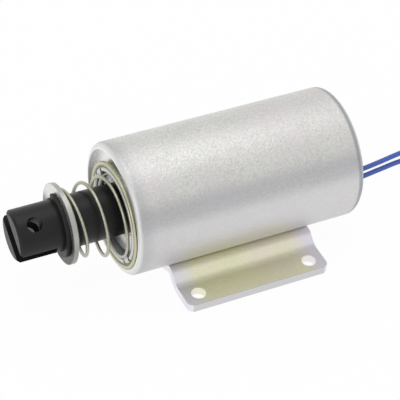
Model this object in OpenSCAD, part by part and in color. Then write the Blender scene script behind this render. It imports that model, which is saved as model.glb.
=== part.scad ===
// Push pull solenoid: round pull-type solenoid on a formed saddle foot.
// X runs along the plunger (which points to -X), Z is up, and the origin is the
// middle of the foot's hole pattern, on the face that the foot stands on.

/* [View] */
// Sub-part to draw: all, or one name from the list at the end of this file

/* [Case] */
// Outside diameter of the case
case_d = 38; // [36:0.5:40]
// Length of the case
case_len = 69.5; // [68.5:0.5:72]
// Wall of the case tube
case_wall = 1.8; // [1.6:0.05:2]
// Rounding of the front edge
front_fillet = 1.65; // [1:0.05:1.7]
// Rounding of the rear edge
rear_fillet = 2; // [1:0.1:2.5]
// Length of the lip that is rolled over the rear plate
lip_t = 2; // [1.6:0.1:2.4]
// How far the rolled lip reaches in from the bore
lip_reach = 1; // [0.6:0.1:1.2]

/* [Front end] */
// Set-back of the front plate in the case
plate_set = 2.1; // [1.6:0.1:2.6]
// Thickness of the front plate
plate_t = 4; // [3:0.5:5]
// Radius of the funnel around the guide tube's mouth
funnel_r = 8.7; // [8.4:0.1:9]
// Depth of the funnel
funnel_depth = 0.8; // [0.5:0.1:1.5]
// Play of the spring cup in the case's mouth, on the radius
cup_play = 1.7; // [1.2:0.1:2]
// Gap left where the cup has settled against the case
cup_gap = 0.04; // [0.02:0.01:0.08]
// Width of the cup's rolled bead
bead_w = 1.25; // [1:0.05:1.4]
// Thickness of the cup's sheet
cup_t = 0.5; // [0.4:0.1:0.6]
// Height of the cup's rim above the front plate
cup_rise = 2.5; // [2:0.1:3]
// Gap between the spring's last coil and the cup's wall
coil_room = 0.2; // [0.1:0.05:0.5]
// Gap between the spring's last coil and the edge of the cup's hole
floor_reach = 0.9; // [0.2:0.1:1.5]
// Direction in which the cup has settled, from +Y toward +Z
cup_dir = 232; // [180:1:260]
// Direction of the lanced tabs that hold the last coil
tab_dir = 38; // [30:1:60]
// Width of a tab
tab_w = 3.2; // [2.4:0.1:4]
// Reach of a tab over the coil
tab_reach = 0.7; // [0.4:0.1:0.9]
// Width of the slot at each side of a tab
slot_w = 1.1; // [0.8:0.1:1.4]
// Length of that slot from the cup's wall
slot_len = 1.1; // [0.8:0.1:1.2]

/* [Return spring] */
// Wire diameter
wire_d = 1.0; // [0.8:0.05:1.2]
// Radius of the wire's middle at the washer
spring_r0 = 9.4; // [9:0.1:9.8]
// Radius of the wire's middle at the cup
spring_r1 = 11.8; // [11.5:0.1:12.2]
// Power by which the coils grow from the washer to the cup
spring_growth = 1.4; // [1:0.1:2]
// Active turns between the two closed ends
active_turns = 2.87; // [2.3:0.01:3.2]
// Closed part of a turn at each end
closed_turns = 0.72; // [0.6:0.01:0.8]
// Direction in which the active turns begin
spring_start = -64; // [-90:1:-40]
// Lean of the middle turns, along X at the wire
spring_lean = 0.6; // [0:0.1:0.8]
// Direction of the lean, from +Y toward +Z
lean_dir = 44; // [0:1:90]
// Rings of the swept wire in one turn
rings_turn = 26; // [20:1:32]

/* [Plunger] */
// Plunger diameter
plunger_d = 14.7; // [14:0.1:15]
// Running clearance in the guide tube, on the radius
guide_clear = 0.07; // [0.04:0.01:0.1]
// Reach of the plunger in front of the case, when it is out
plunger_out = 29.55; // [28:0.5:32]
// Reach of the plunger inside the case, when it is out
plunger_in = 28; // [26:0.5:30]
// Pull-in stroke
stroke = 10; // [9:0.5:10]
// Chamfer at the plunger's end
end_chamfer = 0.7; // [0.4:0.1:1]
// Width of the clevis slot
slot_gap = 5; // [4.4:0.1:5.4]
// Depth of the clevis slot
slot_depth = 10.5; // [9:0.5:11]
// Diameter of the cross hole
pin_d = 4.25; // [4:0.05:4.5]
// Distance of the cross hole from the plunger's end
pin_x = 5.15; // [4.5:0.05:6]
// Direction of the cross hole, from +Y toward +Z
pin_dir = 122; // [100:1:140]
// Length of the plunger's working cone
cone_len = 7; // [5:0.5:8]
// Radius of the cone's flat tip
tip_r = 2.6; // [2:0.1:3.5]
// Width of the flat land around the cone
cone_land = 0.6; // [0.4:0.1:1]
// Gap left between cone and pole when the plunger is in
residual_gap = 0.15; // [0.1:0.05:0.4]

/* [Clip and washer] */
// Distance of the spring washer's rear face from the case
washer_x = 14.65; // [14:0.05:15.5]
// Thickness of the spring washer
washer_t = 1.25; // [1:0.05:1.5]
// Radius of the spring washer
washer_r = 11.5; // [11:0.1:12]
// Clearance of the washer on the plunger, on the radius
washer_clear = 0.08; // [0.05:0.01:0.1]
// Face clearance between clip and washer
clip_gap = 0.05; // [0.03:0.01:0.08]
// Thickness of the clip
clip_t = 1.1; // [0.9:0.1:1.2]
// Outside radius of the clip
clip_r = 9.2; // [8.8:0.1:9.6]
// Radius of the groove's bottom
groove_r = 6.1; // [5.8:0.1:6.5]
// Radius of the clip's inside relief
relief_r = 7.5; // [7.4:0.1:7.8]
// Direction of the clip's mouth, from +Y toward +Z
mouth_dir = -51; // [-90:1:0]
// Half of the clip's mouth, in degrees
mouth_half = 56; // [45:1:62]
// Width of each of the clip's lugs, in degrees
lug_deg = 26; // [20:1:32]

/* [Coil and poles] */
// Wall of the guide tube
guide_wall = 0.5; // [0.4:0.1:0.8]
// Thickness of each insulating disc
insul_t = 0.5; // [0.4:0.1:0.8]
// Room for the splices, between the bobbin and the rear plate
splice_room = 5; // [4.5:0.1:8]
// Thickness of the bobbin's core and flanges
bobbin_wall = 0.9; // [0.8:0.1:1.2]
// Radius of the bobbin's flanges
flange_r = 16.6; // [16:0.1:16.8]
// Depth of the winding
winding_depth = 6.8; // [6:0.1:7]
// Thickness of the tape over the winding
tape_t = 0.3; // [0.2:0.1:0.4]
// Thickness of the rear plate
rear_t = 4.5; // [4:0.5:5]
// Thickness of the wave washer as fitted
wave_t = 0.7; // [0.5:0.1:1]
// Wall of the rear insulator's rim
rim_t = 1.2; // [1:0.1:1.3]
// Radius of the stop pole's riveted tail
tail_r = 5.5; // [5:0.1:6]
// Depth of the rivet's countersink
rivet_t = 1; // [0.8:0.1:1.4]

/* [Leads] */
// Diameter of each lead over its insulation
lead_d = 1.45; // [1.3:0.05:1.6]
// Distance between the two leads
lead_pitch = 2.3; // [2.2:0.1:2.6]
// Radius at which the grommet sits
grommet_at = 12.6; // [12:0.1:12.7]
// Direction of the grommet, from +Y toward +Z
grommet_dir = 178; // [170:1:190]
// Direction from the lower lead to the upper one
lead_dir = 67; // [50:1:90]
// Radius of the grommet's body
grommet_r = 2.6; // [2.4:0.1:2.7]
// Radius of the grommet's flanges
grommet_flange_r = 3.2; // [3:0.1:3.3]
// Thickness of the grommet's flanges
grommet_flange_t = 0.8; // [0.6:0.1:1]
// Radius of the splice sleeves
sleeve_r = 1.1; // [1:0.02:1.1]
// Length of lead inside its sleeve
splice_in = 2; // [1:0.5:3]
// Coil of spare lead: radius to the middle of its turns
coil_r = 7.9; // [7.5:0.1:9]
// Coil of spare lead: width of the bundle of turns
coil_w = 6; // [5:0.1:7]
// Coil of spare lead: height of the bundle of turns
coil_h = 2.9; // [2.9:0.1:3.5]
// Coil of spare lead: its middle, behind the case and across
coil_at = [31.25, -16];
// Radius of the stripped, tinned conductor
tip_wire_r = 0.4; // [0.3:0.05:0.5]
// Stripped length
tip_len = 6; // [4:0.5:8]
// Length of the tie along the turns
tie_len = 2.6; // [2:0.1:4]
// Thickness of the tie's band
tie_t = 0.5; // [0.4:0.1:0.8]

/* [Foot] */
// Thickness of the foot's sheet
foot_t = 2.5; // [2:0.1:3]
// Length of the foot along the case
foot_len = 44; // [42:0.5:50]
// Width of the foot across its flanges
foot_w = 51.2; // [50:0.2:54]
// Half of the arc in which the saddle hugs the case, in degrees
saddle_half = 30; // [26:1:32]
// Inside radius of the crest bend
crest_r = 1.5; // [1:0.1:2]
// Slope of the flange's leg, in degrees
leg_slope = 40; // [36:1:44]
// Inside radius of the bend to the flange
bend_r = 4; // [3:0.1:4.5]
// Corner rounding of the foot
foot_corner = 2; // [1:0.5:4]
// Distance of the holes from the foot's end edges
hole_end = 4.6; // [4:0.1:6]
// Distance of the holes from the foot's side edges
hole_side = 4.05; // [3.8:0.05:4.2]
// Diameter of the foot's holes
hole_d = 4.26; // [4:0.02:4.6]

/* [Hidden] */
$fn = 96;
eps = 0.01;
case_r = case_d / 2;
bore_r = case_r - case_wall;
front_x = -case_len / 2;
plunger_r = plunger_d / 2;
guide_r = plunger_r + guide_clear;
tube_r = guide_r + guide_wall;
plate_end = plate_set + plate_t;
bobbin_x = plate_end + insul_t;
wind_r0 = tube_r + bobbin_wall;
wind_r1 = wind_r0 + winding_depth;
rear_end = case_len - lip_t;
rear_x = rear_end - rear_t;
bobbin_end = rear_x - splice_room;
gap_x = rear_x - insul_t;
funnel_end = plate_set + funnel_depth;
cone_r = plunger_r - cone_land;
cone_x = plunger_in - cone_len;
cone_slope = (cone_r - tip_r) / cone_len;
seat_x = cone_x + stroke + residual_gap;
cup_shift = cup_play - cup_gap;
cup_off = cup_shift * [cos(cup_dir), sin(cup_dir)];
cup_r = spring_r1 + wire_d / 2 + coil_room;
cup_hole_r = spring_r1 - wire_d / 2 - floor_reach;
bead_r = bore_r - cup_play;
washer_front = washer_x + washer_t;
clip_x = washer_front + clip_gap;
lead_r = lead_d / 2;
grommet_c = grommet_at * [cos(grommet_dir), sin(grommet_dir)];
lead_off = lead_pitch / 2 * [cos(lead_dir), sin(lead_dir)];
exit_a = grommet_c + lead_off;
exit_b = grommet_c - lead_off;
grommet_x = rear_x - grommet_flange_t;
splice_x = bobbin_end + insul_t;
axis_h = case_r + foot_t;
hole_x = foot_len - 2 * hole_end;
hole_y = foot_w - 2 * hole_side;
coil_x = case_len / 2 + coil_at[0];
coil_y = coil_at[1];
lap = 0.3;
coil_mid = tie_t + coil_h / 2;
hole_r = hole_d / 2;

// round points of each lead, from its sleeve to the coil on the floor: distance behind the
// case's rear, distance across, height above the floor
function behind(p) = [for (v = p) [case_len / 2 + v[0], v[1], v[2]]];
function from_sleeve(e) = [for (x = [grommet_x - splice_in, rear_end + grommet_flange_t])
    [front_x + x, e[0], axis_h + e[1]]];
path_a = concat(from_sleeve(exit_a), behind([[2.25, -12.4, 23.3], [8.25, -12.1, 23.9],
    [15.25, -11.5, 24.5], [21.25, -10.9, 24.2], [26.25, -10.5, 22], [29.3, -10.2, 18],
    [30.3, -9.9, 13.5], [29.8, -9.7, 9.6], [28.2, -10, 6.6], [26.2, -11.2, 4.1], [24.9, -13.7, 2.6]]));
path_b = concat(from_sleeve(exit_b), behind([[2.25, -13.3, 21.3], [8.25, -12.9, 21.8],
    [15.25, -12.2, 22], [20.75, -11.9, 21], [25, -12, 18], [27.2, -12.1, 13.9], [27.9, -12.1, 9.6],
    [27.6, -12.2, 6], [27, -12.6, 3.4], [25.84, -14.55, 1.23]]));
tail_a = behind([[32.2, -26.2, 2.4], [35, -26.4, 1.9], [38.5, -26.8, 1.1], [42.5, -27.4, 0.73],
    [47, -28.2, 0.73]]);
tail_b = behind([[32.9, -24.9, 1.2], [36, -24.6, 1], [40, -24.4, 0.73], [45, -24.4, 0.73],
    [50, -24.8, 0.73], [55, -25.6, 0.73]]);

function unit(v) = v / norm(v);
function ahead(p, i) = unit(p[min(i + 1, len(p) - 1)] - p[max(i - 1, 0)]);
// ring of points around point i of path p, kept level by a fixed side direction
function ring_at(p, i, r, n, ref) = let(t = ahead(p, i), u = unit(cross(ref, t)), w = cross(t, u))
    [for (k = [0:n - 1]) p[i] + r * (u * cos(360 * k / n) + w * sin(360 * k / n))];

// tube along the points of p with n sides
module sweep(p, r, n, ref) {
    m = len(p);
    pts = [for (i = [0:m - 1]) each ring_at(p, i, r, n, ref)];
    sides = [for (i = [0:m - 2]) for (k = [0:n - 1])
        [i * n + k, (i + 1) * n + k, (i + 1) * n + (k + 1) % n, i * n + (k + 1) % n]];
    caps = [[for (k = [0:n - 1]) k], [for (k = [n - 1:-1:0]) (m - 1) * n + k]];
    polyhedron(points = pts, faces = concat(sides, caps));
}

// turns a section drawn as (radius, distance from the case's front) about the case's axis
module turned() translate([front_x, 0, axis_h]) rotate([0, 90, 0]) rotate_extrude() children();

module ring(ri, ro, x0, x1) turned() translate([ri, x0]) square([ro - ri, x1 - x0]);

// waste of a rounded corner that points to the origin
module corner_cut(r) difference() {
    translate([-eps, -eps]) square(r + eps);
    translate([r, r]) circle(r);
}

// pie slice from angle a0 to a1 with radius r
module pie(a0, a1, r) {
    am = (a0 + a1) / 2;
    polygon([[0, 0], r * [cos(a0), sin(a0)], 1.3 * r * [cos(am), sin(am)], r * [cos(a1), sin(a1)]]);
}

// part of a bent sheet: from radius r0 to r1, between two angles about a centre
module bend(c, r0, r1, a0, a1) translate(c) intersection() {
    difference() {
        circle(r1);
        circle(r0);
    }
    pie(a0 - lap, a1 + lap, r1 + 1);
}

module case_shell() color("silver") turned() difference() {
    union() {
        translate([bore_r, 0]) square([case_wall, case_len]);
        translate([bore_r - lip_reach, rear_end]) square([case_wall + lip_reach, lip_t]);
    }
    translate([case_r, 0]) rotate(90) corner_cut(front_fillet);
    translate([case_r, case_len]) rotate(180) corner_cut(rear_fillet);
}

module front_plate() color("silver") turned() polygon([[tube_r, funnel_end], [funnel_r, plate_set],
    [bore_r, plate_set], [bore_r, plate_end], [tube_r, plate_end]]);

// sheet cup: floor, wall, and rim with two beads, with two tabs lanced over the spring's last coil
module seat_cup() color("gold") translate([front_x + plate_set, cup_off[0], axis_h + cup_off[1]]) {
    difference() {
        rotate([0, 90, 0]) rotate_extrude() {
            translate([cup_hole_r, -cup_t]) square([cup_r + cup_t - cup_hole_r, cup_t]);
            translate([cup_r, bead_w / 2 - cup_rise]) square([cup_t, cup_rise - bead_w / 2]);
            translate([cup_r + bead_w / 2, (bead_w - cup_t) / 2 - cup_rise])
                square([bead_r - cup_r - bead_w, cup_t]);
            for (r = [cup_r, bead_r - bead_w]) translate([r + bead_w / 2, bead_w / 2 - cup_rise])
                circle(bead_w / 2);
        }
        for (side = [0, 180], s = [-1, 1]) rotate([tab_dir + side, 0, 0])
            translate([-cup_rise - 1, cup_r - 1, s * (tab_w + slot_w) / 2 - slot_w / 2])
                cube([1 + cup_rise / 2, slot_len + 1, slot_w]);
    }
    for (side = [0, 180]) rotate([tab_dir + side, 0, 0])
        translate([-cup_rise, cup_r - tab_reach, -tab_w / 2]) cube([cup_t, tab_reach + cup_t, tab_w]);
}

module guide_tube() color("goldenrod") ring(guide_r, tube_r, funnel_end, gap_x);

module front_insulator() color("beige") ring(tube_r, bore_r, plate_end, bobbin_x);

module coil_bobbin() color("ivory") {
    ring(tube_r, wind_r0, bobbin_x, bobbin_end);
    ring(tube_r, flange_r, bobbin_x, bobbin_x + bobbin_wall);
    ring(tube_r, flange_r, bobbin_end - bobbin_wall, bobbin_end);
}

module coil_winding() color("orangered")
    ring(wind_r0, wind_r1, bobbin_x + bobbin_wall, bobbin_end - bobbin_wall);

module coil_tape() color("gold")
    ring(wind_r1, wind_r1 + tape_t, bobbin_x + bobbin_wall, bobbin_end - bobbin_wall);

module rear_insulator() color("beige") {
    ring(tube_r, bore_r, bobbin_end, splice_x);
    ring(bore_r - rim_t, bore_r, bobbin_end, rear_x - wave_t);
}

module wave_washer() color("silver") ring(bore_r - rim_t, bore_r, rear_x - wave_t, rear_x);

module stop_pole() color("silver") turned() difference() {
    union() {
        translate([0, seat_x]) square([guide_r, gap_x - seat_x]);
        translate([0, gap_x]) square([tail_r, rear_end - gap_x]);
        polygon([[0, rear_end - rivet_t], [tail_r, rear_end - rivet_t], [tail_r + rivet_t, rear_end],
            [0, rear_end]]);
    }
    polygon([[0, seat_x - eps], [cone_r, seat_x - eps], [cone_r, seat_x], [tip_r, seat_x + cone_len],
        [0, seat_x + cone_len]]);
}

module gap_washer() color("gold") ring(tail_r, tube_r, gap_x, rear_x);

module rear_plate() color("silver") difference() {
    turned() polygon([[tail_r, rear_x], [bore_r, rear_x], [bore_r, rear_end],
        [tail_r + rivet_t, rear_end], [tail_r, rear_end - rivet_t]]);
    translate([front_x + rear_x - eps, grommet_c[0], axis_h + grommet_c[1]]) rotate([0, 90, 0])
        cylinder(h = rear_t + 2 * eps, r = grommet_r);
}

module lead_grommet() color("dimgray") difference() {
    translate([front_x, grommet_c[0], axis_h + grommet_c[1]]) rotate([0, 90, 0]) {
        translate([0, 0, grommet_x]) cylinder(h = grommet_flange_t, r = grommet_flange_r);
        translate([0, 0, rear_x]) cylinder(h = rear_t, r = grommet_r);
        translate([0, 0, rear_end]) cylinder(h = grommet_flange_t, r = grommet_flange_r);
    }
    for (e = [exit_a, exit_b]) translate([front_x + grommet_x - eps, e[0], axis_h + e[1]])
        rotate([0, 90, 0]) cylinder(h = rear_t + 2 * grommet_flange_t + 2 * eps, r = lead_r);
}

module splice_sleeve(e) color("black") translate([front_x + splice_x, e[0], axis_h + e[1]])
    rotate([0, 90, 0]) difference() {
        cylinder(h = grommet_x - splice_x, r = sleeve_r);
        translate([0, 0, grommet_x - splice_x - splice_in]) cylinder(h = splice_in + eps, r = lead_r);
    }
module splice_sleeve_a() splice_sleeve(exit_a);
module splice_sleeve_b() splice_sleeve(exit_b);

module lead_a() color("royalblue") {
    sweep(path_a, lead_r, 8, [0, 1, 0]);
    sweep(tail_a, lead_r, 8, [0, 0, 1]);
}
module lead_b() color("royalblue") {
    sweep(path_b, lead_r, 8, [0, 1, 0]);
    sweep(tail_b, lead_r, 8, [0, 0, 1]);
}

module lead_coil() color("royalblue") translate([coil_x, coil_y, coil_mid]) rotate_extrude()
    translate([coil_r, 0]) intersection() {
        square([coil_w, coil_h], center = true);
        circle(coil_w / 2);
    }

module lead_tie() color("black") translate([coil_x + coil_r, coil_y, coil_mid]) difference() {
    cube([coil_w + 2 * tie_t, tie_len, coil_h + 2 * tie_t], center = true);
    cube([coil_w, tie_len + 1, coil_h], center = true);
}

module lead_tip(p) color("silver") {
    last = p[len(p) - 1];
    d = ahead(p, len(p) - 1);
    translate(last) rotate([0, 90, atan2(d[1], d[0])]) cylinder(h = tip_len, r = tip_wire_r);
}
module lead_tip_a() lead_tip(tail_a);
module lead_tip_b() lead_tip(tail_b);

// cylinder or cone on the case's axis from x0 to x1, measured from the case's front
module spindle(x0, x1, r0, r1) translate([front_x + x0, 0, axis_h]) rotate([0, 90, 0])
    cylinder(h = x1 - x0, r1 = r0, r2 = r1);

module plunger() color("#222222") difference() {
    union() {
        spindle(-plunger_out, cone_x, plunger_r, plunger_r);
        spindle(cone_x - cone_land, plunger_in, cone_r + cone_land * cone_slope, tip_r);
    }
    turned() polygon([[plunger_r - end_chamfer - 1, -plunger_out - 1], [plunger_r + 1, -plunger_out - 1],
        [plunger_r + 1, end_chamfer + 1 - plunger_out]]);
    ring(groove_r, plunger_r + 1, -clip_x - clip_t, -clip_x);
    translate([front_x - plunger_out, 0, axis_h]) rotate([pin_dir, 0, 0]) {
        translate([-1, -slot_gap / 2, -plunger_r - 1]) cube([slot_depth + 1, slot_gap, plunger_d + 2]);
        translate([pin_x, plunger_d, 0]) rotate([90, 0, 0]) cylinder(h = 2 * plunger_d, d = pin_d);
    }
}

module e_clip() color("#333333") translate([front_x - clip_x - clip_t, 0, axis_h])
    rotate([90, 0, 90]) linear_extrude(clip_t) difference() {
        union() {
            difference() {
                circle(clip_r);
                circle(relief_r);
            }
            intersection() {
                circle(relief_r + eps);
                for (a = [-1, 1] * (mouth_half + lug_deg / 2))
                    pie(mouth_dir + a - lug_deg / 2, mouth_dir + a + lug_deg / 2, clip_r);
            }
            intersection() {
                circle(relief_r + eps);
                pie(mouth_dir + 180 - lug_deg / 2, mouth_dir + 180 + lug_deg / 2, clip_r);
            }
        }
        circle(groove_r);
        pie(mouth_dir - mouth_half, mouth_dir + mouth_half, 3 * clip_r);
    }

module spring_washer() color("silver")
    ring(plunger_r + washer_clear, washer_r, -washer_front, -washer_x);

// middle line of the spring: closed end on the washer, open turns, closed end in the cup
spring_n = active_turns + 2 * closed_turns;
spring_x0 = -washer_x + wire_d / 2;
spring_x1 = plate_set - cup_t - wire_d / 2;
function spring_f(t) = min(1, max(0, (t - closed_turns) / active_turns));
function spring_pt(t) = let(f = spring_f(t), a = spring_start + 360 * (t - closed_turns),
    r = spring_r0 + (spring_r1 - spring_r0) * pow(f, spring_growth), lean = spring_lean * sin(180 * f))
    [front_x + spring_x0 + (spring_x1 - spring_x0) * f + lean * cos(a - lean_dir),
        f * cup_off[0] + r * cos(a), axis_h + f * cup_off[1] + r * sin(a)];
spring_steps = ceil(spring_n * rings_turn);

module return_spring() color("lightgray")
    sweep([for (i = [0:spring_steps]) spring_pt(spring_n * i / spring_steps)], wire_d / 2, 8, [1, 0, 0]);

// half of the foot's section as (y, z), and its mirror image
crest_at = (case_r + foot_t / 2) * [sin(saddle_half), -cos(saddle_half)] + [0, axis_h]
    + (crest_r + foot_t / 2) * [sin(saddle_half), -cos(saddle_half)];
leg_top = crest_at + (crest_r + foot_t / 2) * [sin(leg_slope), cos(leg_slope)];
bend_mid = bend_r + foot_t / 2;
leg_len = (leg_top[1] - foot_t / 2 - bend_mid * (1 - cos(leg_slope))) / sin(leg_slope);
bend_at = leg_top + leg_len * [cos(leg_slope), -sin(leg_slope)]
    + bend_mid * [sin(leg_slope), cos(leg_slope)];
module foot_half() {
    bend([0, axis_h], case_r, axis_h, -90, -90 + saddle_half);
    bend(crest_at, crest_r, crest_r + foot_t, 90 - leg_slope, 90 + saddle_half);
    translate(leg_top) rotate(-leg_slope) translate([-eps, -foot_t / 2]) square([leg_len + 2 * eps, foot_t]);
    bend(bend_at, bend_r, bend_r + foot_t, -90 - leg_slope, -90);
    translate([bend_at[0] - eps, 0]) square([foot_w / 2 - bend_at[0] + eps, foot_t]);
}

module foot_bracket() color("khaki") difference() {
    rotate([90, 0, 90]) linear_extrude(foot_len, center = true) {
        foot_half();
        mirror([1, 0]) foot_half();
    }
    for (sx = [-1, 1], sy = [-1, 1]) {
        translate([sx * hole_x / 2, sy * hole_y / 2, -eps]) cylinder(h = foot_t + 2 * eps, r = hole_r);
        translate([sx * foot_len / 2, sy * foot_w / 2, -eps])
            rotate(sx > 0 ? (sy > 0 ? 180 : 90) : (sy > 0 ? 270 : 0))
                linear_extrude(foot_t + 2 * eps) corner_cut(foot_corner);
    }
}

case_shell();
front_plate();
seat_cup();
guide_tube();
coil_bobbin();
coil_winding();
coil_tape();
front_insulator();
rear_insulator();
wave_washer();
stop_pole();
gap_washer();
rear_plate();
lead_grommet();
splice_sleeve_a();
splice_sleeve_b();
lead_a();
lead_b();
lead_coil();
lead_tie();
lead_tip_a();
lead_tip_b();
plunger();
e_clip();
spring_washer();
return_spring();
foot_bracket();
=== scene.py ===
import math

import bmesh
import bpy
import numpy as np
from mathutils import Matrix, Vector


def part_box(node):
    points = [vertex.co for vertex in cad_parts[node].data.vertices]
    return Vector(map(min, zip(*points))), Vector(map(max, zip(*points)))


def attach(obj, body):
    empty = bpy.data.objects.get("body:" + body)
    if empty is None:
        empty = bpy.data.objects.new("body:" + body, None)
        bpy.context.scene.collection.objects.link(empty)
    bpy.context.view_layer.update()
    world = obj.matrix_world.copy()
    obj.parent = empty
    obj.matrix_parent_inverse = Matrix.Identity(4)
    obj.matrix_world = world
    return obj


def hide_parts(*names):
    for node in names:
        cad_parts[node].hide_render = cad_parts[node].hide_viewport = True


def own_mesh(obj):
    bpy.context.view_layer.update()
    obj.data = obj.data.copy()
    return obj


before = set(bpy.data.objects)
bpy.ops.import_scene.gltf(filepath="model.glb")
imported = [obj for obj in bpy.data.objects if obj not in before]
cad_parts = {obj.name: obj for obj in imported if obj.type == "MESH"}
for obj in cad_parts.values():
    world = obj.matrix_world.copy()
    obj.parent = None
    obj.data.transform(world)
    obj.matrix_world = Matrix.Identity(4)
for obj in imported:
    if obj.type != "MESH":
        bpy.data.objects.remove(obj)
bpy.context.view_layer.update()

bl_info = {
    "name": "Push Pull Solenoid",
    "version": (1, 0, 0),
    "blender": (4, 5, 0),
    "location": "3D View > Sidebar > Solenoid",
    "description": "Finishes, return spring, leads and studio for a push pull solenoid",
    "category": "Object",
}

MM = 0.001
CASE_LOW, CASE_HIGH = (np.array(corner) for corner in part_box("case_shell"))
REAR = CASE_HIGH[0]
AXIS_H = (CASE_LOW[2] + CASE_HIGH[2]) / 2
SHARP_ANGLE = 40


# ---------------------------------------------------------------- meshes

def grid_faces(rows, columns, wrap_rows=False, wrap_columns=False):
    """Quads of a grid of points: corner (i, j) joins (i+1, j), (i+1, j+1) and (i, j+1)."""
    i = np.arange(rows if wrap_rows else rows - 1)[:, None]
    j = np.arange(columns if wrap_columns else columns - 1)[None, :]
    i_next, j_next = (i + 1) % rows, (j + 1) % columns
    corners = [i * columns + j, i_next * columns + j, i_next * columns + j_next, i * columns + j_next]
    return np.stack([np.broadcast_to(c, (i.size, j.size)) for c in corners], -1).reshape(-1, 4)


def build_piece(name, points, faces, finish, body, replaces=()):
    """Makes a smooth mesh object of the points and faces, and fixes it to a body of the frame."""
    mesh = bpy.data.meshes.new(name)
    mesh.from_pydata(points.reshape(-1, 3).tolist(), [], [list(f) for f in faces])
    shell = bmesh.new()
    shell.from_mesh(mesh)
    bmesh.ops.recalc_face_normals(shell, faces=shell.faces)
    shell.to_mesh(mesh)
    shell.free()
    mesh.polygons.foreach_set("use_smooth", np.ones(len(mesh.polygons), dtype=bool))
    mesh.set_sharp_from_angle(angle=math.radians(SHARP_ANGLE))
    mesh.materials.append(bpy.data.materials[finish])
    piece = bpy.data.objects.new(name, mesh)
    bpy.context.scene.collection.objects.link(piece)
    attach(piece, body)
    if replaces:
        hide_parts(*replaces)
    return piece


def unit(vectors):
    """Each vector divided by its length."""
    return vectors / np.linalg.norm(vectors, axis=-1, keepdims=True)


def tube(path, radius, sides, reference):
    """Round tube: at each point of the path, with tangent t, side u = reference x t and w = t x u,
    the ring is point + radius (u cos a + w sin a). Flat fans close both ends."""
    tangent = unit(np.gradient(path, axis=0))
    side = unit(np.cross(reference, tangent))
    other = np.cross(tangent, side)
    angle = np.linspace(0, 2 * np.pi, sides, endpoint=False)
    ring = side[:, None] * np.cos(angle)[None, :, None] + other[:, None] * np.sin(angle)[None, :, None]
    points = (path[:, None] + radius * ring).reshape(-1, 3)
    faces = grid_faces(len(path), sides, wrap_columns=True).tolist()
    first = list(range(sides))
    last = [(len(path) - 1) * sides + k for k in reversed(range(sides))]
    return points, faces + [first, last]


def smooth_route(knots, per_knot):
    """Catmull-Rom curve through the knots: each span is the cubic with end slopes of half the
    distance between the neighbouring knots."""
    knots = np.asarray(knots, dtype=float)
    ends = np.vstack([2 * knots[0] - knots[1], knots, 2 * knots[-1] - knots[-2]])
    p0, p1, p2, p3 = ends[:-3], ends[1:-2], ends[2:-1], ends[3:]
    s = np.linspace(0, 1, per_knot, endpoint=False)[:, None, None]
    curve = 0.5 * (2 * p1 + (p2 - p0) * s + (2 * p0 - 5 * p1 + 4 * p2 - p3) * s ** 2
                   + (3 * p1 - p0 - 3 * p2 + p3) * s ** 3)
    return np.vstack([curve.transpose(1, 0, 2).reshape(-1, 3), knots[-1]])


# ---------------------------------------------------------------- finishes

def add(tree, kind, inputs=None, **settings):
    """Adds a node, sets its properties, and fills or links its inputs."""
    node = tree.nodes.new(kind)
    for key, value in settings.items():
        setattr(node, key, value)
    for key, value in (inputs or {}).items():
        if isinstance(value, bpy.types.NodeSocket):
            tree.links.new(value, node.inputs[key])
        else:
            node.inputs[key].default_value = value
    return node


def new_group(name, inputs, outputs):
    """Starts a shader node group with named sockets: name -> (socket kind, default)."""
    group = bpy.data.node_groups.new(name, "ShaderNodeTree")
    for socket, (kind, default) in inputs.items():
        made = group.interface.new_socket(socket, in_out="INPUT", socket_type="NodeSocket" + kind)
        if default is not None:
            made.default_value = default
    for socket, kind in outputs.items():
        group.interface.new_socket(socket, in_out="OUTPUT", socket_type="NodeSocket" + kind)
    entry = group.nodes.new("NodeGroupInput")
    leave = group.nodes.new("NodeGroupOutput")
    return group, entry, leave


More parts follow.
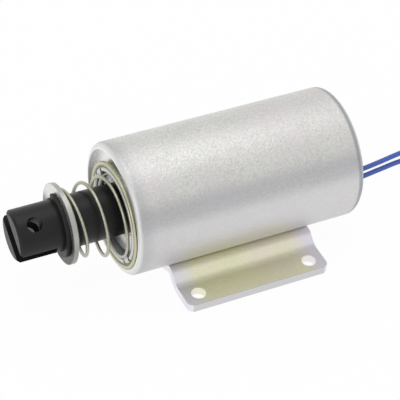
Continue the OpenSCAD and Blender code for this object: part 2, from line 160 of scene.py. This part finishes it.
def frosted_zinc_group():
    """Zinc plate on drawn steel: fine frost, soft clouds and a faint shift of tint."""
    group, entry, leave = new_group(
        "Frosted zinc",
        {"Vector": ("Vector", None), "Pale": ("Color", (0.8, 0.8, 0.78, 1)),
         "Deep": ("Color", (0.6, 0.6, 0.6, 1)), "Tint": ("Color", (0.7, 0.68, 0.75, 1)),
         "Frost Size": ("Float", 1200.0), "Tint Amount": ("Float", 0.2)},
        {"Color": "Color", "Roughness": "Float", "Height": "Float"})
    frost = add(group, "ShaderNodeTexNoise", {"Vector": entry.outputs["Vector"],
                "Scale": entry.outputs["Frost Size"], "Detail": 3.0, "Roughness": 0.65})
    clouds = add(group, "ShaderNodeTexNoise", {"Vector": entry.outputs["Vector"], "Scale": 130.0,
                 "Detail": 2.0})
    tint = add(group, "ShaderNodeTexNoise", {"Vector": entry.outputs["Vector"], "Scale": 60.0,
               "Detail": 1.0})
    spread = add(group, "ShaderNodeMapRange", {"Value": frost.outputs["Fac"], "From Min": 0.36,
                 "From Max": 0.64})
    cloud_range = add(group, "ShaderNodeMapRange", {"Value": clouds.outputs["Fac"], "From Min": 0.3,
                      "From Max": 0.7})
    blend = add(group, "ShaderNodeMath", {0: spread.outputs["Result"], 1: 0.8}, operation="MULTIPLY")
    both = add(group, "ShaderNodeMath", {0: cloud_range.outputs["Result"], 1: 0.2,
               2: blend.outputs[0]}, operation="MULTIPLY_ADD")
    plate = add(group, "ShaderNodeMix", {"Factor": both.outputs[0], "A": entry.outputs["Deep"],
                "B": entry.outputs["Pale"]}, data_type="RGBA")
    tint_range = add(group, "ShaderNodeMapRange", {"Value": tint.outputs["Fac"], "From Min": 0.45,
                     "From Max": 0.7, "To Max": 1.0})
    tint_mask = add(group, "ShaderNodeMath", {0: tint_range.outputs["Result"],
                    1: entry.outputs["Tint Amount"]}, operation="MULTIPLY")
    colour = add(group, "ShaderNodeMix", {"Factor": tint_mask.outputs[0],
                 "A": plate.outputs["Result"], "B": entry.outputs["Tint"]}, data_type="RGBA")
    rough = add(group, "ShaderNodeMapRange", {"Value": both.outputs[0], "To Min": 0.42,
                "To Max": 0.3})
    group.links.new(colour.outputs["Result"], leave.inputs["Color"])
    group.links.new(rough.outputs["Result"], leave.inputs["Roughness"])
    group.links.new(both.outputs[0], leave.inputs["Height"])
    return group


def place_group():
    """Where a point lies on the part, in millimetres: along and across the centre, its height over
    the centre, its distance from the lengthwise line through the centre and from the middle."""
    group, entry, leave = new_group(
        "Place on the part", {"Vector": ("Vector", None), "Centre": ("Vector", (0, 0, AXIS_H))},
        {"Along": "Float", "Across": "Float", "Height": "Float", "Radius": "Float", "From Middle": "Float"})
    offset = add(group, "ShaderNodeVectorMath", {0: entry.outputs["Vector"], 1: entry.outputs["Centre"]},
                 operation="SUBTRACT")
    scaled = add(group, "ShaderNodeVectorMath", {0: offset.outputs[0], "Scale": 1 / MM}, operation="SCALE")
    parts = add(group, "ShaderNodeSeparateXYZ", {0: scaled.outputs[0]})
    flat = add(group, "ShaderNodeVectorMath", {0: scaled.outputs[0], 1: (0, 1, 1)}, operation="MULTIPLY")
    radius = add(group, "ShaderNodeVectorMath", {0: flat.outputs[0]}, operation="LENGTH")
    middle = add(group, "ShaderNodeMath", {0: parts.outputs["X"]}, operation="ABSOLUTE")
    for socket, source in (("Along", parts.outputs["X"]), ("Across", parts.outputs["Y"]),
                           ("Height", parts.outputs["Z"]), ("Radius", radius.outputs["Value"]),
                           ("From Middle", middle.outputs[0])):
        group.links.new(source, leave.inputs[socket])
    return group


def colour_setting(name, description, default):
    """A colour that a user may change."""
    return bpy.props.FloatVectorProperty(name=name, description=description, default=default,
                                         subtype="COLOR", min=0, max=1)


def length_setting(name, description, default):
    """A size in millimetres that a user may change."""
    return bpy.props.FloatProperty(name=name, description=description, default=default * MM,
                                   min=0, unit="LENGTH")


def angle_setting(name, description, default):
    """A direction in degrees that a user may change."""
    return bpy.props.FloatProperty(name=name, description=description, default=math.radians(default),
                                   subtype="ANGLE")


def start_material(name):
    """Makes a material and gives its tree, its Principled BSDF and its Object coordinates."""
    material = bpy.data.materials.new(name)
    material.use_nodes = True
    tree = material.node_tree
    shader = tree.nodes["Principled BSDF"]
    place = add(tree, "ShaderNodeTexCoord").outputs["Object"]
    return tree, shader, place


def bump(tree, shader, height, strength, distance):
    """Wires a height into the shader's normal."""
    node = add(tree, "ShaderNodeBump", {"Height": height, "Strength": strength, "Distance": distance})
    tree.links.new(node.outputs["Normal"], shader.inputs["Normal"])


ZINC_ROUGHNESS = 0.36


def zinc_finish(name, pale, deep, tint, amount, frost, strength, roughness=ZINC_ROUGHNESS, centre=None,
                zones=()):
    """Metal with the frosted zinc group. Each zone is a measure of the place group, the two values
    between which the zone fades in, its colour and its share. The group's own roughness is about
    ZINC_ROUGHNESS, and the rest of the finish's roughness is added to it."""
    tree, shader, place = start_material(name)
    plate = add(tree, "ShaderNodeGroup", node_tree=bpy.data.node_groups["Frosted zinc"])
    tree.links.new(place, plate.inputs["Vector"])
    for socket, value in (("Pale", (*pale, 1)), ("Deep", (*deep, 1)), ("Tint", (*tint, 1)),
                          ("Frost Size", frost), ("Tint Amount", amount)):
        plate.inputs[socket].default_value = value
    colour = plate.outputs["Color"]
    if zones:
        spot = add(tree, "ShaderNodeGroup", node_tree=bpy.data.node_groups["Place on the part"])
        tree.links.new(place, spot.inputs["Vector"])
        if centre:
            spot.inputs["Centre"].default_value = centre
    # most zones are painted light and shade: bands of shade, painted highlights, and painted shade in
    # grooves and recesses; the rest colour the foot's ends and its cut edge
    for measure, low, high, shade, share in zones:
        fade = add(tree, "ShaderNodeMapRange", {"Value": spot.outputs[measure], "From Min": low,
                   "From Max": high, "To Max": share}, interpolation_type="SMOOTHSTEP")
        colour = add(tree, "ShaderNodeMix", {"Factor": fade.outputs["Result"], "A": colour,
                     "B": (*shade, 1)}, data_type="RGBA").outputs["Result"]
    tree.links.new(colour, shader.inputs["Base Color"])
    rough = add(tree, "ShaderNodeMath", {0: plate.outputs["Roughness"], 1: roughness - ZINC_ROUGHNESS},
                operation="ADD")
    tree.links.new(rough.outputs[0], shader.inputs["Roughness"])
    shader.inputs["Metallic"].default_value = 1.0
    bump(tree, shader, plate.outputs["Height"], strength, 0.05 * MM)


GRAIN_BUMP = 0.2
GRAIN_ROUGHNESS_RANGE = 0.06


def grained_finish(name, colour, other, scale, roughness, metallic=0.0, specular=0.5):
    """Plain material with two close colours mixed by a fine grain."""
    tree, shader, place = start_material(name)
    grain = add(tree, "ShaderNodeTexNoise", {"Vector": place, "Scale": scale, "Detail": 4.0})
    colours = add(tree, "ShaderNodeMix", {"Factor": grain.outputs["Fac"], "A": (*colour, 1),
                  "B": (*other, 1)}, data_type="RGBA")
    rough = add(tree, "ShaderNodeMapRange", {
        "Value": grain.outputs["Fac"], "To Min": roughness - GRAIN_ROUGHNESS_RANGE,
        "To Max": roughness + GRAIN_ROUGHNESS_RANGE})
    tree.links.new(colours.outputs["Result"], shader.inputs["Base Color"])
    tree.links.new(rough.outputs["Result"], shader.inputs["Roughness"])
    shader.inputs["Metallic"].default_value = metallic
    shader.inputs["Specular IOR Level"].default_value = specular
    bump(tree, shader, grain.outputs["Fac"], GRAIN_BUMP, 0.03 * MM)


FINISH_OF_NODE = {
    "case_shell": "Satin zinc", "front_plate": "Mouth zinc", "rear_plate": "Bright zinc",
    "seat_cup": "Yellow zinc", "foot_bracket": "Yellow zinc foot", "spring_washer": "Washer zinc",
    "plunger": "Black oxide", "e_clip": "Black phosphate", "guide_tube": "Brass",
    "coil_bobbin": "Nylon", "coil_winding": "Enamelled copper", "coil_tape": "Yellow tape",
    "front_insulator": "Fibre", "rear_insulator": "Fibre", "wave_washer": "Bright zinc",
    "stop_pole": "Bright zinc", "gap_washer": "Brass", "lead_grommet": "Black rubber",
    "splice_sleeve_a": "Black rubber", "splice_sleeve_b": "Black rubber",
    "lead_a": "Blue insulation", "lead_b": "Blue insulation", "lead_coil": "Blue insulation",
    "lead_tie": "Black rubber", "lead_tip_a": "Tinned strands", "lead_tip_b": "Tinned strands",
    "return_spring": "Spring wire",
}


class SOLENOID_PG_finishes(bpy.types.PropertyGroup):
    """Colours of the finishes"""
    case: colour_setting("Case", "Pale grains of the case's zinc", (0.83, 0.825, 0.78))
    foot: colour_setting("Foot", "Pale grains of the foot's yellow zinc", (0.95, 0.94, 0.68))
    foot_ends: colour_setting("Foot Ends", "Tint of the foot's zinc near its ends", (0.86, 0.84, 0.97))
    cup: colour_setting("Cup", "Pale grains of the cup's outer bead", (0.62, 0.62, 0.42))
    spring: colour_setting("Spring", "Pale grains of the spring's wire", (0.56, 0.55, 0.45))
    plunger: colour_setting("Plunger", "Black oxide of the plunger", (0.006, 0.006, 0.006))
    leads: colour_setting("Leads", "Insulation of the leads", (0.05, 0.10, 0.40))


def zinc_finishes(colours):
    """The zinc plated finishes: name -> settings of zinc_finish. Heights, radii and distances in the
    zones are in millimetres."""
    low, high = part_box("seat_cup")
    return {
        "Satin zinc": dict(
            pale=colours.case, deep=(0.64, 0.64, 0.63), tint=(0.74, 0.69, 0.71), amount=0.5, frost=1500,
            strength=1.0, roughness=0.44, zones=[
                # painted light and shade: bands by height stand in for the light on the round case, a
                # darker band under the lit top, a paler middle and a darker bottom
                ("Height", 14, 9.5, (0.47, 0.47, 0.50), 0.62),
                ("Height", 8, 4, (0.78, 0.765, 0.77), 0.6),
                ("Height", -5, -14, (0.62, 0.62, 0.58), 0.5),
                # painted shade: darker band near the case's front edge
                ("Along", -29, -33.4, (0.46, 0.48, 0.50), 0.45),
                # painted light on the case's front face
                ("Along", -33.6, -34.4, (0.84, 0.84, 0.83), 0.9),
                # painted reflection: dark strip where the case's rear edge starts to round
                ("Along", 32.2, 33, (0.25, 0.27, 0.30), 0.6),
                # painted highlight on the case's rear edge
                ("Along", 33.4, 34, (0.74, 0.74, 0.74), 0.8),
                # painted light on the case's inner wall at the mouth
                ("Radius", 17.9, 17.3, (0.98, 0.98, 0.97), 1.0)]),
        "Bright zinc": dict(
            pale=(0.82, 0.82, 0.81), deep=(0.7, 0.7, 0.7), tint=(0.7, 0.7, 0.74), amount=0.15, frost=2200,
            strength=0.1),
        # painted light: a paler copy of Bright zinc for the front plate, standing in for light deep in the
        # mouth
        "Mouth zinc": dict(
            pale=(0.95, 0.95, 0.94), deep=(0.88, 0.88, 0.87), tint=(0.9, 0.9, 0.92), amount=0.15,
            frost=2200, strength=0.1),
        # painted shade: the washer's zinc is near black to stand in for the dark reflection on its face
        "Washer zinc": dict(
            pale=(0.15, 0.15, 0.14), deep=(0.09, 0.09, 0.085), tint=(0.14, 0.13, 0.11), amount=0.4,
            frost=1500, strength=0.15, roughness=0.4, zones=[
                # painted highlight on the upper part of the washer's face
                ("Height", -1, 5, (0.85, 0.85, 0.83), 0.95),
                # painted light on the washer's rim
                ("Radius", 11.3, 11.45, (0.42, 0.42, 0.4), 0.8)]),
        "Yellow zinc": dict(
            pale=colours.cup, deep=(0.48, 0.47, 0.3), tint=(0.66, 0.6, 0.6), amount=0.3, frost=1800,
            strength=0.1, centre=(0, (low[1] + high[1]) / 2, (low[2] + high[2]) / 2), zones=[
                # painted shade in the groove between the cup's bead and its lip
                ("Radius", 14.35, 14.25, (0.12, 0.12, 0.1), 0.9),
                # painted highlight on the cup's inner lip
                ("Radius", 13.8, 13.7, (0.66, 0.67, 0.62), 0.95),
                # painted shade inside the cup, within its inner wall
                ("Radius", 12.62, 12.52, (0.4, 0.44, 0.48), 0.7)]),
        "Yellow zinc foot": dict(
            pale=colours.foot, deep=(0.86, 0.84, 0.59), tint=(0.90, 0.78, 0.82), amount=0.5, frost=1800,
            strength=0.1, roughness=0.38, zones=[
                ("From Middle", 14, 21.5, colours.foot_ends, 0.8),
                # painted highlight on the foot's bend up to the case
                ("Height", -16, -12.5, (0.95, 0.93, 0.9), 0.8),
                ("Across", -25.4, -25.55, (0.64, 0.64, 0.66), 1.0)]),
        "Spring wire": dict(
            pale=colours.spring, deep=(0.42, 0.41, 0.32), tint=(0.5, 0.5, 0.5), amount=0.2, frost=2500,
            strength=0.05),
        "Tinned strands": dict(
            pale=(0.8, 0.8, 0.8), deep=(0.6, 0.6, 0.6), tint=(0.7, 0.7, 0.7), amount=0.1, frost=2500,
            strength=0.3),
    }


def make_finishes(colours):
    """Builds every material of the part."""
    frosted_zinc_group()
    place_group()
    for name, settings in zinc_finishes(colours).items():
        zinc_finish(name, **settings)
    grained_finish("Black oxide", colours.plunger, (0.012, 0.011, 0.011), 700, 0.36, specular=0.3)
    grained_finish("Black phosphate", (0.008, 0.008, 0.008), (0.016, 0.016, 0.015), 1500, 0.42,
                   specular=0.3)
    grained_finish("Brass", (0.75, 0.55, 0.25), (0.7, 0.5, 0.22), 1200, 0.3, 1.0)
    grained_finish("Nylon", (0.8, 0.78, 0.7), (0.76, 0.74, 0.66), 900, 0.5)
    grained_finish("Enamelled copper", (0.6, 0.22, 0.08), (0.5, 0.18, 0.06), 2000, 0.3, 0.8)
    grained_finish("Yellow tape", (0.8, 0.6, 0.15), (0.74, 0.55, 0.14), 900, 0.4)
    grained_finish("Fibre", (0.7, 0.62, 0.42), (0.62, 0.54, 0.36), 1500, 0.7)
    grained_finish("Black rubber", (0.02, 0.02, 0.02), (0.03, 0.03, 0.03), 1500, 0.6)
    grained_finish("Blue insulation", colours.leads, (0.06, 0.12, 0.46), 700, 0.4)


# ---------------------------------------------------------------- spring

# turns of the wire and the share of the spring's length reached there: the coils are uneven
RISE = [(0, 0), (0.95, 0), (1.15, 0.06), (1.65, 0.31), (2.15, 0.465), (2.65, 0.67), (3.15, 0.83),
        (3.65, 0.935), (4.05, 1), (4.31, 1)]
RISE_BLEND = 12
WIRE_SIDES = 14
WIRE_STEPS = 560


def spring_line(spring):
    """Middle line of the wire. Over the turns t, f goes from 0 to 1 between the ends. Across, the point
    is on the line from washer to cup at f, plus the radius at f along the angle of t. Along, it is at
    the rise of t, read from RISE and rounded by a running mean, plus a lean of the middle turns."""
    wire = spring.wire
    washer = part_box("spring_washer")
    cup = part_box("seat_cup")
    start = np.array([washer[1][0] + wire / 2, 0, AXIS_H])
    end = np.array([cup[1][0] - spring.cup_sheet - wire / 2, (cup[0][1] + cup[1][1]) / 2,
                    (cup[0][2] + cup[1][2]) / 2])
    turns = np.linspace(0, spring.active_turns + 2 * spring.closed_turns, WIRE_STEPS)
    f = np.clip((turns - spring.closed_turns) / spring.active_turns, 0, 1)
    angle = spring.start_angle + 2 * np.pi * (turns - spring.closed_turns)
    radius = spring.washer_radius + (spring.cup_radius - spring.washer_radius) * f ** spring.growth
    lean = spring.lean * np.sin(np.pi * f) * np.cos(angle - spring.lean_angle)
    offset = np.stack([lean, radius * np.cos(angle), radius * np.sin(angle)], -1)
    window = 2 * RISE_BLEND + 1
    rise = np.pad(np.interp(turns, *zip(*RISE)), RISE_BLEND, mode="edge")
    rise = np.convolve(rise, np.ones(window) / window, mode="valid")
    place = start + (end - start) * f[:, None]
    place[:, 0] = start[0] + (end[0] - start[0]) * rise
    return place + offset


class SOLENOID_PG_spring(bpy.types.PropertyGroup):
    """Sizes of the return spring"""
    wire: length_setting("Wire", "Diameter of the wire", 1.0)
    washer_radius: length_setting("Radius at Washer", "Coil radius at the washer", 9.4)
    cup_radius: length_setting("Radius at Cup", "Coil radius in the cup", 11.8)
    growth: bpy.props.FloatProperty(
        name="Growth", description="Power by which the coils grow towards the cup", default=1.4, min=1)
    cup_sheet: length_setting("Cup Sheet", "Thickness of the cup's floor", 0.5)
    active_turns: bpy.props.FloatProperty(
        name="Active Turns", description="Turns over which the coils grow", default=2.87, min=1)
    closed_turns: bpy.props.FloatProperty(
        name="Closed Turns", description="Part of a turn of one radius at each end", default=0.72, min=0)
    start_angle: angle_setting("Start", "Direction in which the coils begin to grow", -64)
    lean: length_setting("Lean", "Lean of the middle turns", 0.6)
    lean_angle: angle_setting("Lean Direction", "Direction of the lean", 44)


class SOLENOID_OT_spring(bpy.types.Operator):
    """Wind the return spring between the washer and the cup"""
    bl_idname = "solenoid.spring"
    bl_label = "Return Spring"

    def execute(self, context):
        spring = context.scene.solenoid_spring
        line = spring_line(spring)
        points, faces = tube(line, spring.wire / 2, WIRE_SIDES, np.array([1.0, 0, 0]))
        piece = build_piece("spring_wire", points, faces, "Spring wire", "stator", ["return_spring"])
        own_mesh(piece)
        return {"FINISHED"}


# ---------------------------------------------------------------- clip

class SOLENOID_PG_clip(bpy.types.PropertyGroup):
    """Sizes of the clip on the plunger"""
    body_radius: length_setting("Body Radius", "Outer radius of the clip's body", 9.2)
    arm_radius: length_setting("Arm Radius", "Outer radius of the narrow arm", 7.7)
    ear_radius: length_setting("Ear Radius", "Outer radius of the ear on the arm", 8.5)
    groove_radius: length_setting("Groove Radius", "Inner radius, in the groove", 6.2)
    bevel: length_setting("Bevel", "Bevel of the outer edges", 0.12)


# directions, in degrees, at which the ear starts and ends, the arm starts and ends, and the body
# starts and ends
CLIP_ANGLES = (5, 11, 13, 61, 66, 253)
CLIP_STEPS = 125


def clip_shape(clip):
    """Open ring: the section (inner edge, bevelled outer edge) is carried round the axis by the angle
    a, and its outer radius is the ear's, then the arm's, then the body's as a grows."""
    low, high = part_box("e_clip")
    angle = np.radians(np.linspace(CLIP_ANGLES[0], CLIP_ANGLES[-1], CLIP_STEPS))
    edges = np.repeat((clip.ear_radius, clip.arm_radius, clip.body_radius), 2)
    outer = np.interp(np.degrees(angle), CLIP_ANGLES, edges)[:, None]
    inner = np.full_like(outer, clip.groove_radius)
    radius = np.hstack([inner, outer - clip.bevel, outer, outer, outer - clip.bevel, inner])
    along = np.array([low[0], low[0], low[0] + clip.bevel, high[0] - clip.bevel, high[0], high[0]])
    points = np.stack([np.broadcast_to(along, radius.shape), radius * np.cos(angle)[:, None],
                       AXIS_H + radius * np.sin(angle)[:, None]], -1)
    rows, columns = radius.shape
    faces = grid_faces(rows, columns, wrap_columns=True).tolist()
    return points, faces + [list(range(columns)), list(range((rows - 1) * columns, rows * columns))]


class SOLENOID_OT_clip(bpy.types.Operator):
    """Make the open clip in the plunger's groove"""
    bl_idname = "solenoid.clip"
    bl_label = "Clip"

    def execute(self, context):
        points, faces = clip_shape(context.scene.solenoid_clip)
        build_piece("plunger_clip", points, faces, "Black phosphate", "armature", ["e_clip"])
        return {"FINISHED"}


# ---------------------------------------------------------------- leads

# middle of the coil on the floor, its turns, and the growth of its radius in each turn
COIL_MIDDLE = np.array([REAR + 31.25 * MM, -16 * MM, 0.0])
COIL_TURNS = 2.32
COIL_GROWTH = 1.5
COIL_STEPS = 60
# a lead's length inside the grommet, the points between two knots and the sides of its tube
INSIDE = 7.3 * MM
PER_KNOT = 5
LEAD_SIDES = 12
NEARLY_UP = np.array([0.02, 0.05, 1.0])
# arrival and tail: distance behind the case's rear, distance across and height, in millimetres
LEADS = {
    "a": {"arrival": [(2.25, -12.4, 23.3), (8.25, -12.1, 23.9), (15.25, -11.5, 24.5), (21.25, -10.9, 24.2),
                      (26.25, -10.5, 22), (29.3, -10.2, 18), (30.3, -9.9, 13.5), (29.8, -9.7, 9.6),
                      (28.2, -10, 6.6), (26.2, -11.2, 4.1)],
          "first_angle": 160, "first_radius": 6.75, "height": 2.48,
          "tail": [(35, -26.4, 1.9), (38.5, -26.8, 1.1), (42.5, -27.4, 0.73), (47, -28.2, 0.73)],
          "side": 1, "stands_for": ["lead_a", "lead_coil"], "carries": ["lead_tip_a", "lead_tie"]},
    "b": {"arrival": [(2.25, -13.3, 21.3), (8.25, -12.9, 21.8), (15.25, -12.2, 22), (20.75, -11.9, 21),
                      (25, -12, 18), (27.2, -12.1, 13.9), (27.9, -12.1, 9.6), (27.6, -12.2, 6),
                      (27, -12.6, 3.4)],
          "first_angle": 165, "first_radius": 5.6, "height": 1.23,
          "tail": [(36, -24.6, 1), (40, -24.4, 0.73), (45, -24.4, 0.73), (50, -24.8, 0.73),
                   (55, -25.6, 0.73)],
          "side": -1, "stands_for": ["lead_b"], "carries": ["lead_tip_b"]},
}


def lead_exit(plan, leads):
    """Where a lead leaves the grommet's outer face: half a pitch from its middle."""
    low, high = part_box("lead_grommet")
    middle = np.array([high[0], (low[1] + high[1]) / 2, (low[2] + high[2]) / 2])
    direction = np.array([0, math.cos(leads.pair_angle), math.sin(leads.pair_angle)])
    return middle + plan["side"] * leads.pitch / 2 * direction


def lead_route(plan, leads):
    """The lead's middle line: out of the grommet, down to the floor, around the coil, and its tail.
    In the coil the radius grows by about one lead in each turn, so the turns lie beside each other."""
    behind = np.array([REAR, 0, 0])
    out = lead_exit(plan, leads)
    inside = out - np.array([INSIDE, 0, 0])
    arrival = behind + np.array(plan["arrival"]) * MM
    turn = np.linspace(0, COIL_TURNS, COIL_STEPS)
    angle = math.radians(plan["first_angle"]) + 2 * np.pi * turn
    radius = (plan["first_radius"] + COIL_GROWTH * turn) * MM
    coil = COIL_MIDDLE + np.stack([radius * np.cos(angle), radius * np.sin(angle),
                                   np.full_like(angle, plan["height"] * MM)], -1)
    tail = behind + np.array(plan["tail"]) * MM
    join = PER_KNOT + 1
    drop = smooth_route(np.vstack([inside, out, arrival, coil[:2]]), PER_KNOT)[:-join]
    end = smooth_route(np.vstack([coil[-2:], tail]), PER_KNOT)[join:]
    return np.vstack([drop, coil, end])


class SOLENOID_PG_leads(bpy.types.PropertyGroup):
    """Sizes of the leads"""
    diameter: length_setting("Diameter", "Diameter over the insulation", 1.45)
    pitch: length_setting("Pitch", "Distance between the leads in the grommet", 2.3)
    pair_angle: angle_setting("Pair Angle", "Direction from the lower to the upper lead", 67)
    length: length_setting("Length", "Length of each lead outside the grommet", 190)


class SOLENOID_OT_leads(bpy.types.Operator):
    """Lay both leads from the grommet to a tied coil on the floor"""
    bl_idname = "solenoid.leads"
    bl_label = "Leads"

    def execute(self, context):
        leads = context.scene.solenoid_leads
        for name, plan in LEADS.items():
            route = lead_route(plan, leads)
            points, faces = tube(route, leads.diameter / 2, LEAD_SIDES, NEARLY_UP)
            piece = build_piece(f"lead_wire_{name}", points, faces, "Blue insulation", "stator",
                                plan["stands_for"])
        return {"FINISHED"}


# ---------------------------------------------------------------- studio

class SOLENOID_PG_studio(bpy.types.PropertyGroup):
    """Light of the studio"""
    lamp_power: bpy.props.FloatProperty(
        name="Lamp Power", description="Power of the main soft lamp", default=0.6, min=0, unit="POWER")
    sky_colour: colour_setting("Sky", "Colour of the studio walls", (0.80, 0.80, 0.80))


class SOLENOID_OT_finishes(bpy.types.Operator):
    """Give every part of the frame its finish"""
    bl_idname = "solenoid.finishes"
    bl_label = "Finishes"

    def execute(self, context):
        make_finishes(context.scene.solenoid_finishes)
        for node, finish in FINISH_OF_NODE.items():
            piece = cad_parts[node]
            for slot in piece.material_slots:
                slot.material = bpy.data.materials[finish]
            piece.data.polygons.foreach_set("use_smooth", np.ones(len(piece.data.polygons), dtype=bool))
        return {"FINISHED"}


class SOLENOID_OT_stage(bpy.types.Operator):
    """Make the floor, the lamps, the surroundings and the camera"""
    bl_idname = "solenoid.stage"
    bl_label = "Studio"

    def execute(self, context):
        make_camera(context.scene)
        make_floor()
        make_lights(context)
        context.scene.view_settings.view_transform = "Standard"
        return {"FINISHED"}


# direction from the part to the camera, its height over the floor and its roll, in degrees
CAMERA_TURN = (-118.482, 41.83, 4.521)
# distance back from the case's axis, then how far the camera stands to the left and down, in metres
CAMERA_BACK, CAMERA_LEFT, CAMERA_DOWN = 0.49688, 0.007157, 0.005947
CAMERA_LENS = 158.30


def make_camera(scene):
    """A long lens above and in front of the plunger, held a little askew."""
    azimuth, height, roll = (math.radians(a) for a in CAMERA_TURN)
    flat = math.cos(height)
    back = Vector((flat * math.cos(azimuth), flat * math.sin(azimuth), math.sin(height)))
    level = Vector((-math.sin(azimuth), math.cos(azimuth), 0))
    above = back.cross(level)
    right = level * math.cos(roll) + above * math.sin(roll)
    up = above * math.cos(roll) - level * math.sin(roll)
    camera = bpy.data.objects.new("camera", bpy.data.cameras.new("camera"))
    camera.data.sensor_width = 36
    camera.data.lens = CAMERA_LENS
    camera.data.clip_start = 0.01
    camera.data.clip_end = 10
    place = Vector((0, 0, AXIS_H)) + back * CAMERA_BACK - right * CAMERA_LEFT - up * CAMERA_DOWN
    camera.matrix_world = Matrix((
        (right.x, up.x, back.x, place.x), (right.y, up.y, back.y, place.y),
        (right.z, up.z, back.z, place.z), (0, 0, 0, 1)))
    scene.collection.objects.link(camera)
    scene.camera = camera


def white_for_camera(tree, shaded, strength):
    """Mixes a shader with plain white where a camera, glossy or transmission ray looks at it."""
    rays = add(tree, "ShaderNodeLightPath")
    glossy = add(tree, "ShaderNodeMath", {0: rays.outputs["Is Camera Ray"],
                 1: rays.outputs["Is Glossy Ray"]}, operation="MAXIMUM")
    seen = add(tree, "ShaderNodeMath", {0: glossy.outputs[0], 1: rays.outputs["Is Transmission Ray"]},
               operation="MAXIMUM")
    amount = add(tree, "ShaderNodeMath", {0: seen.outputs[0], 1: strength}, operation="MULTIPLY")
    white = add(tree, "ShaderNodeEmission", {"Color": (1, 1, 1, 1), "Strength": 1.0})
    mixed = add(tree, "ShaderNodeMixShader", {0: amount.outputs[0], 1: shaded, 2: white.outputs[0]})
    return mixed.outputs[0]


FLOOR_HALF = 3.0
FLOOR_WHITE = 0.96


def make_floor():
    """A large pale floor under the foot."""
    mesh = bpy.data.meshes.new("floor")
    corners = [(x * FLOOR_HALF, y * FLOOR_HALF, 0) for x, y in ((-1, -1), (1, -1), (1, 1), (-1, 1))]
    mesh.from_pydata(corners, [], [(0, 1, 2, 3)])
    material = bpy.data.materials.new("Pale floor")
    material.use_nodes = True
    tree = material.node_tree
    shader = tree.nodes["Principled BSDF"]
    shader.inputs["Base Color"].default_value = (0.9, 0.9, 0.9, 1)
    shader.inputs["Roughness"].default_value = 0.9
    surface = white_for_camera(tree, shader.outputs[0], FLOOR_WHITE)
    tree.links.new(surface, tree.nodes["Material Output"].inputs["Surface"])
    mesh.materials.append(material)
    floor = bpy.data.objects.new("floor", mesh)
    bpy.context.scene.collection.objects.link(floor)


def soft_lamp(name, place, size, power, target=(0, 0, 0.02)):
    """A rectangular area lamp aimed at the part."""
    light = bpy.data.lights.new(name, "AREA")
    light.shape = "RECTANGLE"
    light.size, light.size_y = size
    light.energy = power
    lamp = bpy.data.objects.new(name, light)
    lamp.location = place
    lamp.rotation_euler = (Vector(target) - Vector(place)).to_track_quat("-Z", "Y").to_euler()
    bpy.context.scene.collection.objects.link(lamp)


def make_lights(context):
    """Soft studio light: a wide lamp overhead, a fill from the front, and pale walls."""
    settings = context.scene.solenoid_studio
    soft_lamp("lamp_above", (-0.05, 0.1, 0.55), (0.5, 0.4), settings.lamp_power)
    soft_lamp("lamp_front", (-0.45, -0.35, 0.3), (0.35, 0.35), settings.lamp_power * 0.5)
    world = bpy.data.worlds.new("studio")
    world.use_nodes = True
    context.scene.world = world
    tree = world.node_tree
    rays = add(tree, "ShaderNodeLightPath")
    walls = tree.nodes["Background"]
    walls.inputs["Color"].default_value = (*settings.sky_colour, 1)
    walls.inputs["Strength"].default_value = 1.0
    white = add(tree, "ShaderNodeBackground", {"Color": (1, 1, 1, 1), "Strength": 1.0})
    mixed = add(tree, "ShaderNodeMixShader", {0: rays.outputs["Is Camera Ray"], 1: walls.outputs[0],
                2: white.outputs[0]})
    tree.links.new(mixed.outputs[0], tree.nodes["World Output"].inputs["Surface"])


class SOLENOID_PT_panel(bpy.types.Panel):
    """Lists the settings and the steps"""
    bl_idname = "SOLENOID_PT_panel"
    bl_label = "Solenoid"
    bl_space_type = "VIEW_3D"
    bl_region_type = "UI"
    bl_category = "Solenoid"

    def draw(self, context):
        for name, group in SETTINGS.items():
            box = self.layout.box()
            box.label(text=group.__doc__)
            for setting in group.__annotations__:
                box.prop(getattr(context.scene, name), setting)
        for step in STEPS:
            self.layout.operator(step.bl_idname)


SETTINGS = {"solenoid_studio": SOLENOID_PG_studio, "solenoid_finishes": SOLENOID_PG_finishes,
            "solenoid_spring": SOLENOID_PG_spring, "solenoid_clip": SOLENOID_PG_clip,
            "solenoid_leads": SOLENOID_PG_leads}
STEPS = (SOLENOID_OT_stage, SOLENOID_OT_finishes, SOLENOID_OT_spring, SOLENOID_OT_clip, SOLENOID_OT_leads)
CLASSES = (*SETTINGS.values(), *STEPS, SOLENOID_PT_panel)


def register():
    for cls in CLASSES:
        bpy.utils.register_class(cls)
    for name, group in SETTINGS.items():
        setattr(bpy.types.Scene, name, bpy.props.PointerProperty(type=group))


def unregister():
    for name in SETTINGS:
        delattr(bpy.types.Scene, name)
    for cls in reversed(CLASSES):
        bpy.utils.unregister_class(cls)


def main():
    register()
    bpy.ops.solenoid.stage()
    bpy.ops.solenoid.finishes()
    bpy.ops.solenoid.spring()
    bpy.ops.solenoid.clip()
    bpy.ops.solenoid.leads()


if __name__ == "__main__":
    main()
